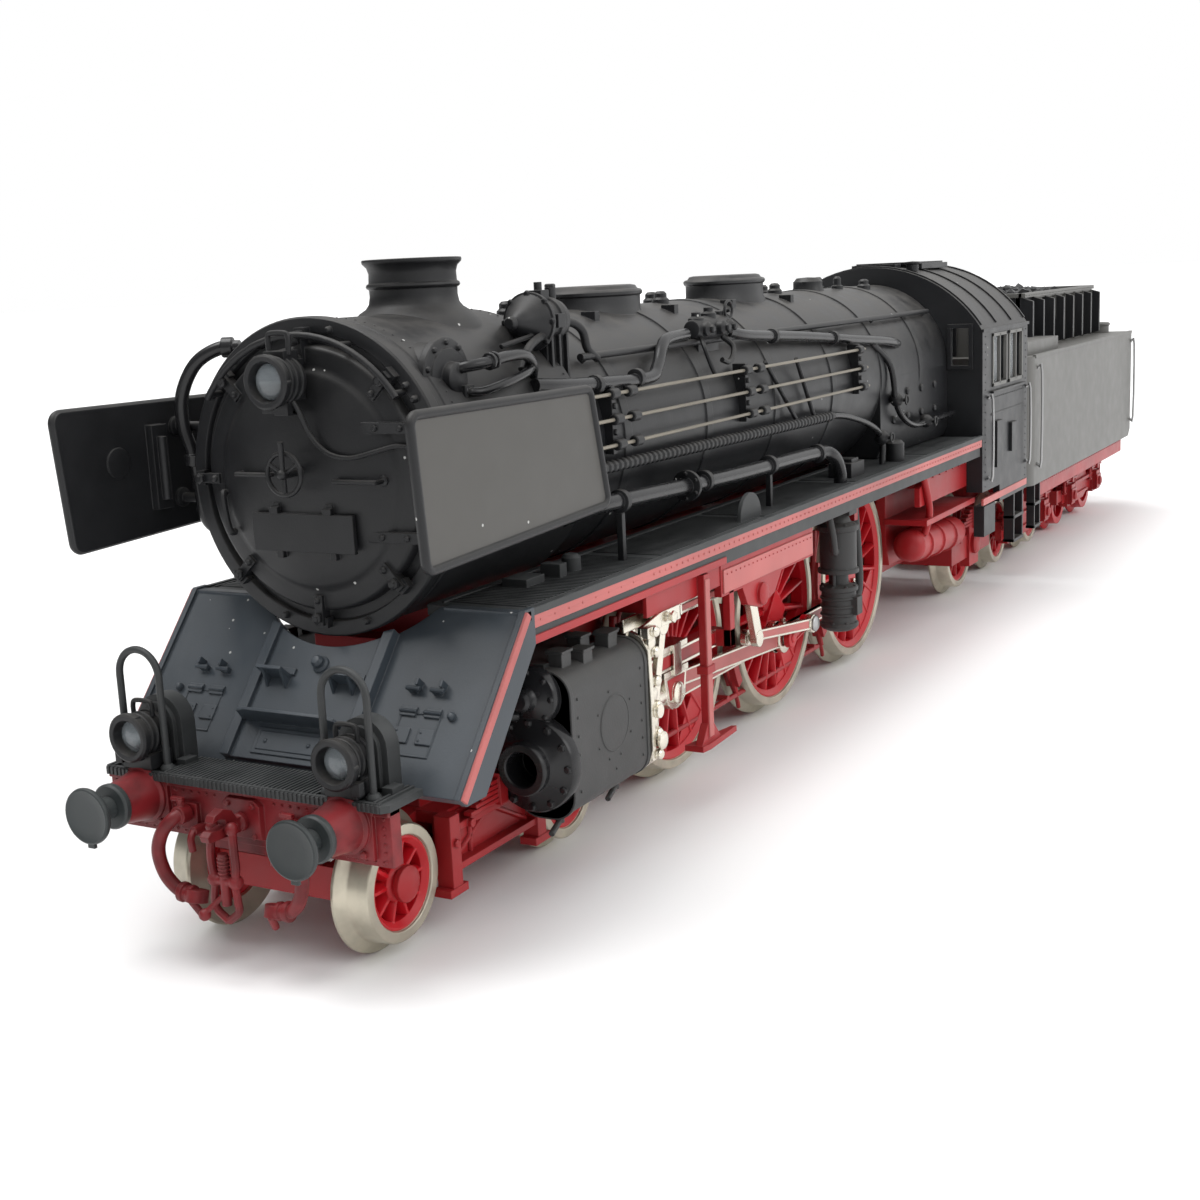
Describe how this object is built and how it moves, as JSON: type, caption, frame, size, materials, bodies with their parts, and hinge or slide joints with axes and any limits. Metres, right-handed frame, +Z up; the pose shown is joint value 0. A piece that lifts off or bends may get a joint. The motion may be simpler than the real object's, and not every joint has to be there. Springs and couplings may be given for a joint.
{
  "type": "model steam locomotive with tender",
  "caption": "Scale model of an express tender steam locomotive with coupled driving wheels, working rods and valve gear, swivelling bogies and a motor in the tender.",
  "frame": {"origin": "middle of the overall length on the centre line, at the lowest point of the wheel flanges; the rail top is 1 mm above it", "axes": "+X forward along the track (longest side), +Y to the left, +Z up"},
  "size_m": [0.274, 0.0358, 0.0543],
  "materials": {
    "red_frame": "satin moulded plastic",
    "red_beam": "worn satin plastic",
    "black_body": "fine matte moulded plastic",
    "grey_body": "fine matte moulded plastic",
    "slate_apron": "satin paint over die cast metal",
    "wheel_red": "satin plastic wheel centres in nickel-plated tyres",
    "nickel": "nickel plated",
    "rod_red": "nickel plated with a red painted groove",
    "cast_weight": "as cast",
    "steel": "turned steel",
    "clear": "clear moulded",
    "coal": "broken coal surface",
    "pinion_white": "natural nylon",
    "copper": "enamelled winding"
  },
  "bodies": {
    "locomotive": {"main_frame": "red_frame", "buffer_beam": "red_beam", "buffer_heads": "grey_body", "coupling_and_hoses": "red_beam", "front_platform": "black_body", "front_apron": "slate_apron", "running_boards": "black_body", "boiler_shell": "black_body", "smokebox_front": "black_body", "feedwater_heater": "black_body", "turbo_generator": "black_body", "smoke_deflectors": "grey_body", "handrails": "black_body", "boiler_pipes": "black_body", "steam_pumps": "black_body", "head_lamps": "black_body", "lamp_lenses": "clear", "cylinder_block": "grey_body", "slide_bars": "red_frame", "cab_shell": "black_body", "cab_glazing": "clear", "keeper_plate": "red_frame", "chassis_screws": "steel", "ballast_weight": "cast_weight"},
    "lead_bogie": {"lead_bogie_frame": "red_frame"},
    "lead_axle_front": {"lead_wheelset_front": "wheel_red"},
    "lead_axle_rear": {"lead_wheelset_rear": "wheel_red"},
    "driver_front": {"driver_wheelset_front": "wheel_red"},
    "driver_middle": {"driver_wheelset_middle": "wheel_red"},
    "driver_rear": {"driver_wheelset_rear": "wheel_red"},
    "coupling_rod_left": {"coupling_rod_left": "rod_red"},
    "main_rod_left": {"main_rod_left": "rod_red"},
    "eccentric_rod_left": {"eccentric_rod_left": "nickel"},
    "crosshead_left": {"crosshead_left": "nickel"},
    "combination_lever_left": {"combination_lever_left": "nickel"},
    "expansion_link_left": {"expansion_link_left": "nickel"},
    "radius_rod_left": {"radius_rod_left": "nickel"},
    "coupling_rod_right": {"coupling_rod_right": "rod_red"},
    "main_rod_right": {"main_rod_right": "rod_red"},
    "eccentric_rod_right": {"eccentric_rod_right": "nickel"},
    "crosshead_right": {"crosshead_right": "nickel"},
    "combination_lever_right": {"combination_lever_right": "nickel"},
    "expansion_link_right": {"expansion_link_right": "nickel"},
    "radius_rod_right": {"radius_rod_right": "nickel"},
    "trailing_truck": {"trailing_truck_frame": "red_frame"},
    "trailing_axle": {"trailing_wheelset": "wheel_red"},
    "drawbar": {"drawbar": "steel"},
    "tender": {"tender_frame": "red_frame", "tender_body": "grey_body", "coal_load": "coal"},
    "tender_bogie": {"tender_bogie_frame": "red_frame"},
    "tender_axle_front": {"tender_wheelset_front": "wheel_red"},
    "tender_axle_rear": {"tender_wheelset_rear": "wheel_red"},
    "power_bogie": {"power_bogie_frame": "black_body", "motor_housing": "steel"},
    "power_axle_front": {"power_wheelset_front": "wheel_red"},
    "power_axle_rear": {"power_wheelset_rear": "wheel_red"},
    "armature": {"motor_armature": "copper"},
    "idler_gear": {"drive_gear": "pinion_white"},
    "coupler": {"rear_coupler": "black_body"}
  },
  "joints": [
    {"name": "lead_bogie_swing", "type": "hinge", "parent": "locomotive", "child": "lead_bogie", "pos_m": [0.1109, 0, 0.009], "axis": [0, 0, 1], "range_deg": [-3.5, 3.5]},
    {"name": "lead_axle_front_spin", "type": "hinge", "parent": "lead_bogie", "child": "lead_axle_front", "pos_m": [0.1238, 0, 0.0059], "axis": [0, 1, 0], "continuous": true},
    {"name": "lead_axle_rear_spin", "type": "hinge", "parent": "lead_bogie", "child": "lead_axle_rear", "pos_m": [0.098, 0, 0.0059], "axis": [0, 1, 0], "continuous": true},
    {"name": "driver_middle_spin", "type": "hinge", "parent": "locomotive", "child": "driver_middle", "pos_m": [0.048, 0, 0.0125], "axis": [0, 1, 0], "continuous": true},
    {"name": "driver_front_spin", "type": "hinge", "parent": "locomotive", "child": "driver_front", "pos_m": [0.0745, 0, 0.0125], "axis": [0, 1, 0], "continuous": true},
    {"name": "driver_rear_spin", "type": "hinge", "parent": "locomotive", "child": "driver_rear", "pos_m": [0.0215, 0, 0.0125], "axis": [0, 1, 0], "continuous": true},
    {"name": "coupling_rod_left_turn", "type": "hinge", "parent": "driver_middle", "child": "coupling_rod_left", "pos_m": [0.05068, 0.01075, 0.00982], "axis": [0, 1, 0], "continuous": true},
    {"name": "main_rod_left_turn", "type": "hinge", "parent": "driver_middle", "child": "main_rod_left", "pos_m": [0.05068, 0.01185, 0.00982], "axis": [0, 1, 0], "continuous": true},
    {"name": "eccentric_rod_left_turn", "type": "hinge", "parent": "driver_middle", "child": "eccentric_rod_left", "pos_m": [0.04616, 0.01365, 0.01066], "axis": [0, 1, 0], "continuous": true},
    {"name": "crosshead_left_slide", "type": "slide", "parent": "locomotive", "child": "crosshead_left", "axis": [1, 0, 0], "range_m": [-0.0064, 0.0011]},
    {"name": "combination_lever_left_swing", "type": "hinge", "parent": "locomotive", "child": "combination_lever_left", "pos_m": [0.089, 0.015, 0.0198], "axis": [0, 1, 0], "range_deg": [-7, 40]},
    {"name": "expansion_link_left_swing", "type": "hinge", "parent": "locomotive", "child": "expansion_link_left", "pos_m": [0.067, 0.0158, 0.0185], "axis": [0, 1, 0], "range_deg": [-45, 8]},
    {"name": "radius_rod_left_slide", "type": "slide", "parent": "locomotive", "child": "radius_rod_left", "axis": [1, 0, 0], "range_m": [-0.001, 0.001]},
    {"name": "coupling_rod_right_turn", "type": "hinge", "parent": "driver_middle", "child": "coupling_rod_right", "pos_m": [0.05068, -0.01075, 0.01518], "axis": [0, 1, 0], "continuous": true},
    {"name": "main_rod_right_turn", "type": "hinge", "parent": "driver_middle", "child": "main_rod_right", "pos_m": [0.05068, -0.01185, 0.01518], "axis": [0, 1, 0], "continuous": true},
    {"name": "eccentric_rod_right_turn", "type": "hinge", "parent": "driver_middle", "child": "eccentric_rod_right", "pos_m": [0.04984, -0.01365, 0.01066], "axis": [0, 1, 0], "continuous": true},
    {"name": "crosshead_right_slide", "type": "slide", "parent": "locomotive", "child": "crosshead_right", "axis": [1, 0, 0], "range_m": [-0.0064, 0.0011]},
    {"name": "combination_lever_right_swing", "type": "hinge", "parent": "locomotive", "child": "combination_lever_right", "pos_m": [0.089, -0.015, 0.0198], "axis": [0, 1, 0], "range_deg": [-7, 40]},
    {"name": "expansion_link_right_swing", "type": "hinge", "parent": "locomotive", "child": "expansion_link_right", "pos_m": [0.067, -0.0158, 0.0185], "axis": [0, 1, 0], "range_deg": [-8, 45]},
    {"name": "radius_rod_right_slide", "type": "slide", "parent": "locomotive", "child": "radius_rod_right", "axis": [1, 0, 0], "range_m": [-0.001, 0.001]},
    {"name": "trailing_truck_swing", "type": "hinge", "parent": "locomotive", "child": "trailing_truck", "pos_m": [-0.001, 0, 0.0088], "axis": [0, 0, 1], "range_deg": [-4, 4]},
    {"name": "trailing_axle_spin", "type": "hinge", "parent": "trailing_truck", "child": "trailing_axle", "pos_m": [-0.0264, 0, 0.0082], "axis": [0, 1, 0], "continuous": true},
    {"name": "drawbar_swing", "type": "hinge", "parent": "locomotive", "child": "drawbar", "pos_m": [-0.036, 0, 0.0151], "axis": [0, 0, 1], "range_deg": [-6, 6]},
    {"name": "tender_swing", "type": "hinge", "parent": "drawbar", "child": "tender", "pos_m": [-0.047, 0, 0.0151], "axis": [0, 0, 1], "range_deg": [-6, 6]},
    {"name": "tender_bogie_swing", "type": "hinge", "parent": "tender", "child": "tender_bogie", "pos_m": [-0.0594, 0, 0.0125], "axis": [0, 0, 1], "range_deg": [-8, 8]},
    {"name": "tender_axle_front_spin", "type": "hinge", "parent": "tender_bogie", "child": "tender_axle_front", "pos_m": [-0.0485, 0, 0.00675], "axis": [0, 1, 0], "continuous": true},
    {"name": "tender_axle_rear_spin", "type": "hinge", "parent": "tender_bogie", "child": "tender_axle_rear", "pos_m": [-0.0703, 0, 0.00675], "axis": [0, 1, 0], "continuous": true},
    {"name": "power_bogie_swing", "type": "hinge", "parent": "tender", "child": "power_bogie", "pos_m": [-0.1024, 0, 0.0125], "axis": [0, 0, 1], "range_deg": [-8, 8]},
    {"name": "armature_spin", "type": "hinge", "parent": "power_bogie", "child": "armature", "pos_m": [-0.1024, 0, 0.01663], "axis": [0, 1, 0], "continuous": true},
    {"name": "idler_gear_spin", "type": "hinge", "parent": "power_bogie", "child": "idler_gear", "pos_m": [-0.1024, 0.0061, 0.00823], "axis": [0, 1, 0], "continuous": true},
    {"name": "power_axle_front_spin", "type": "hinge", "parent": "power_bogie", "child": "power_axle_front", "pos_m": [-0.0915, 0, 0.00675], "axis": [0, 1, 0], "continuous": true},
    {"name": "power_axle_rear_spin", "type": "hinge", "parent": "power_bogie", "child": "power_axle_rear", "pos_m": [-0.1133, 0, 0.00675], "axis": [0, 1, 0], "continuous": true},
    {"name": "coupler_swing", "type": "hinge", "parent": "tender", "child": "coupler", "pos_m": [-0.1235, 0, 0.0095], "axis": [0, 0, 1], "range_deg": [-14, 14]}
  ],
  "couplings": [
    {"joint": "driver_front_spin", "follows": "driver_middle_spin", "ratio": 1},
    {"joint": "driver_rear_spin", "follows": "driver_middle_spin", "ratio": 1},
    {"joint": "coupling_rod_left_turn", "follows": "driver_middle_spin", "ratio": -1},
    {"joint": "main_rod_left_turn", "follows": "driver_middle_spin", "ratio": -1},
    {"joint": "eccentric_rod_left_turn", "follows": "driver_middle_spin", "ratio": -1},
    {"joint": "combination_lever_left_swing", "follows": "crosshead_left_slide", "rad_per_m": -104},
    {"joint": "radius_rod_left_slide", "follows": "expansion_link_left_swing", "m_per_rad": 0.0011},
    {"joint": "coupling_rod_right_turn", "follows": "driver_middle_spin", "ratio": -1},
    {"joint": "main_rod_right_turn", "follows": "driver_middle_spin", "ratio": -1},
    {"joint": "eccentric_rod_right_turn", "follows": "driver_middle_spin", "ratio": -1},
    {"joint": "combination_lever_right_swing", "follows": "crosshead_right_slide", "rad_per_m": -104},
    {"joint": "radius_rod_right_slide", "follows": "expansion_link_right_swing", "m_per_rad": 0.0011},
    {"joint": "idler_gear_spin", "follows": "armature_spin", "ratio": -0.3125},
    {"joint": "power_axle_front_spin", "follows": "armature_spin", "ratio": 0.43478},
    {"joint": "power_axle_rear_spin", "follows": "armature_spin", "ratio": 0.43478}
  ]
}
